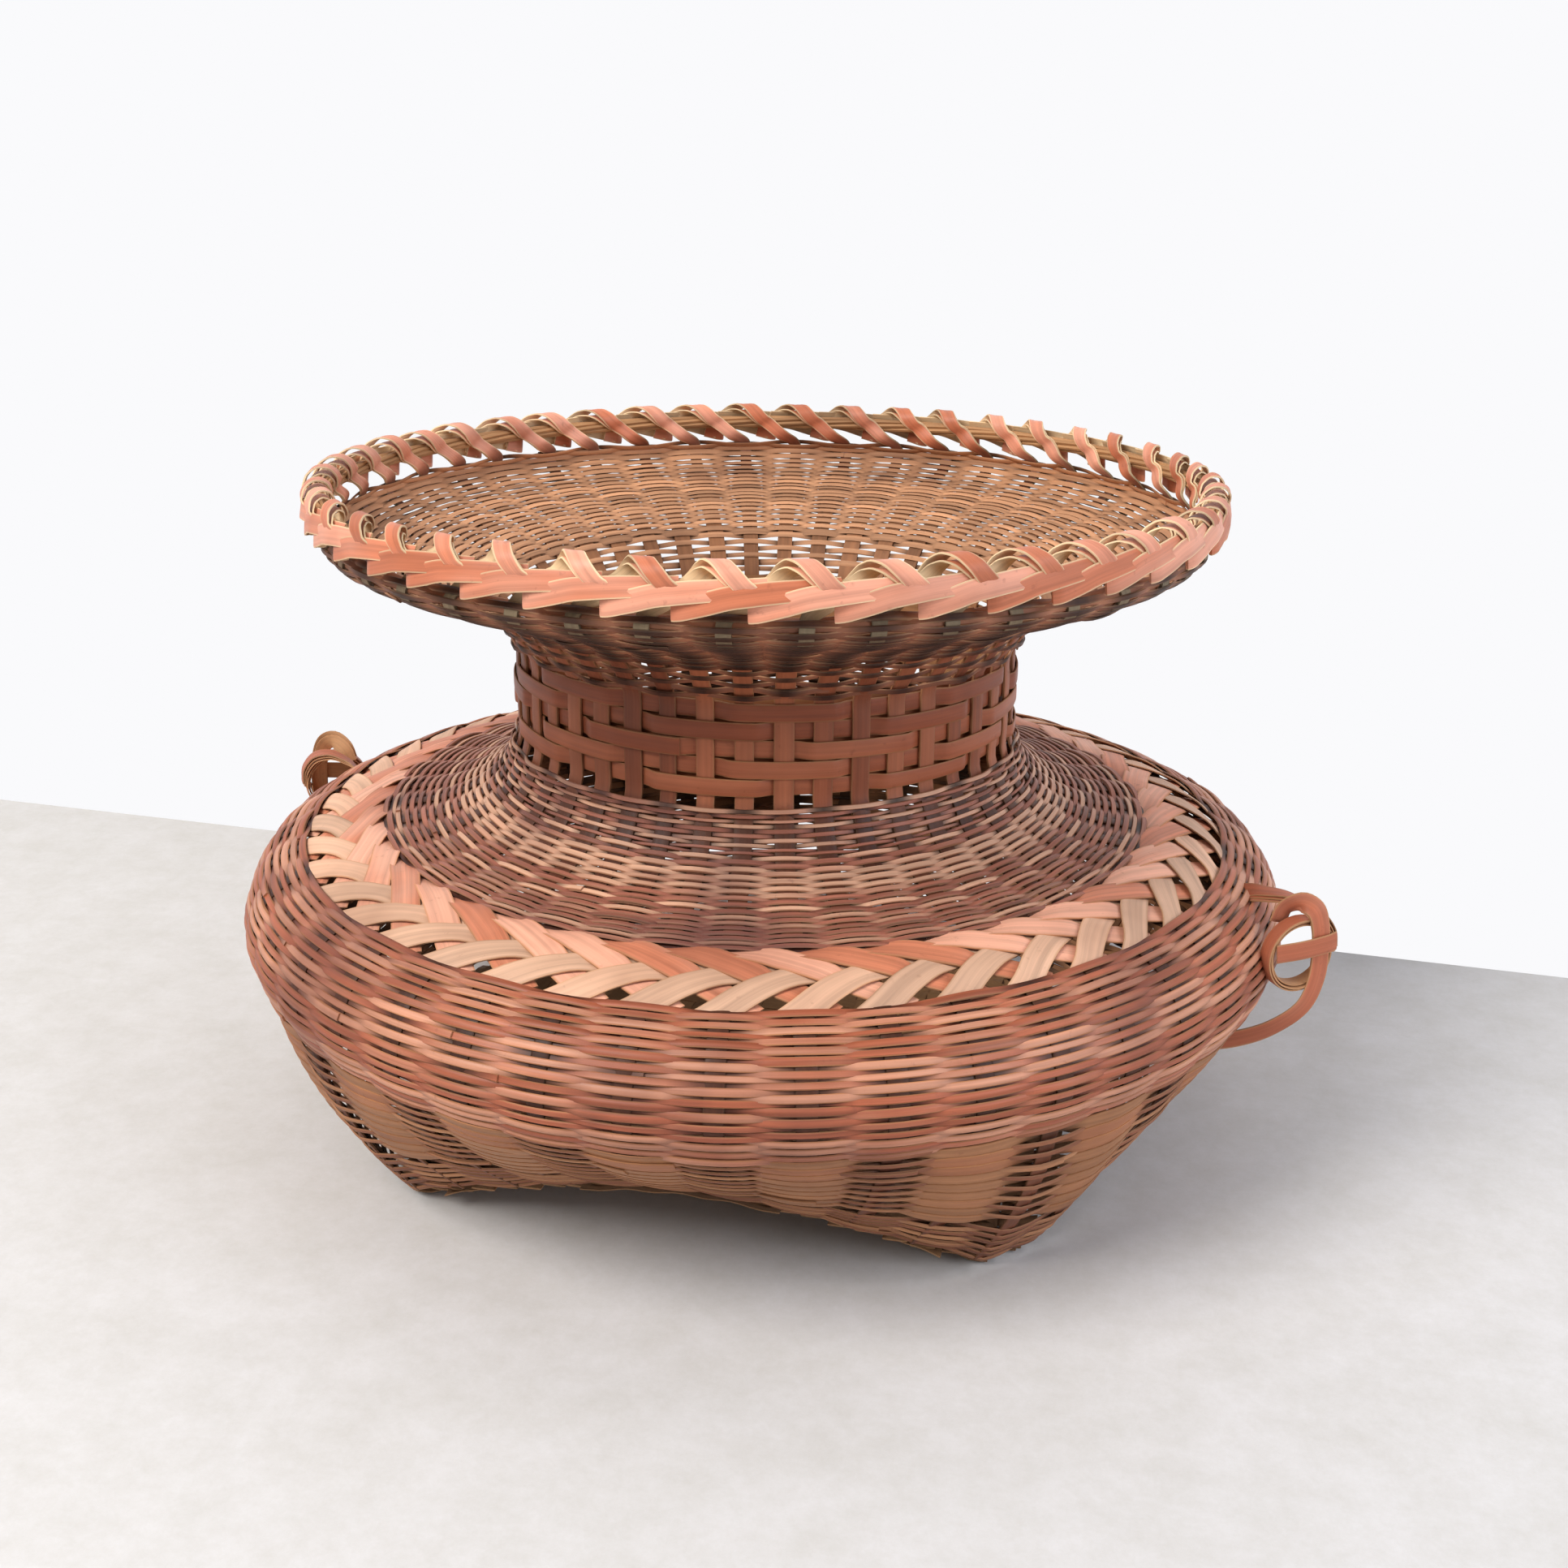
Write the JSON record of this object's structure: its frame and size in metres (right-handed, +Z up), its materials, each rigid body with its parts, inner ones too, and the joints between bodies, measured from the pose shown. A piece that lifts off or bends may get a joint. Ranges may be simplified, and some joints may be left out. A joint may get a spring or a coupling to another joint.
{
  "type": "bamboo flower basket",
  "caption": "Woven bamboo flower basket: a wide open dish with a rolled rim on a latticed neck, over a round body with two small ears and a square base.",
  "frame": {"origin": "on the floor, under the middle of the basket", "axes": "+Z up out of the dish; the ears stand out along X, near +X and -X"},
  "size_m": [0.5654, 0.517, 0.3279],
  "materials": {
    "bamboo skin": "satin",
    "stake bamboo": "satin",
    "bamboo pith": "matte",
    "fine weave": "satin"
  },
  "bodies": {
    "root": {"stake_01": "stake bamboo", "stake_02": "stake bamboo", "stake_03": "stake bamboo", "stake_04": "stake bamboo", "stake_05": "stake bamboo", "stake_06": "stake bamboo", "stake_07": "stake bamboo", "stake_08": "stake bamboo", "stake_09": "stake bamboo", "stake_10": "stake bamboo", "stake_11": "stake bamboo", "stake_12": "stake bamboo", "stake_13": "stake bamboo", "stake_14": "stake bamboo", "stake_15": "stake bamboo", "stake_16": "stake bamboo", "stake_17": "stake bamboo", "stake_18": "stake bamboo", "stake_19": "stake bamboo", "stake_20": "stake bamboo", "stake_21": "stake bamboo", "stake_22": "stake bamboo", "stake_23": "stake bamboo", "stake_24": "stake bamboo", "stake_25": "stake bamboo", "stake_26": "stake bamboo", "stake_27": "stake bamboo", "stake_28": "stake bamboo", "stake_29": "stake bamboo", "stake_30": "stake bamboo", "stake_31": "stake bamboo", "stake_32": "stake bamboo", "stake_33": "stake bamboo", "stake_34": "stake bamboo", "stake_35": "stake bamboo", "stake_36": "stake bamboo", "stake_37": "stake bamboo", "stake_38": "stake bamboo", "stake_39": "stake bamboo", "stake_40": "stake bamboo", "stake_41": "stake bamboo", "stake_42": "stake bamboo", "stake_43": "stake bamboo", "stake_44": "stake bamboo", "neck_strip": "bamboo skin", "neck_lining": "stake bamboo", "shoulder_cone": "fine weave", "shoulder_braid": "bamboo skin", "body_weave": "fine weave", "lower_weave": "bamboo pith", "base_mat": "bamboo pith", "collar": "fine weave", "rim_core": "bamboo pith", "rolled_rim": "bamboo skin", "ear_right_ring": "bamboo skin", "ear_right_arch": "bamboo skin", "ear_right_tie": "bamboo skin", "ear_left_ring": "bamboo skin", "ear_left_arch": "bamboo skin", "ear_left_tie": "bamboo skin"}
  },
  "joints": []
}
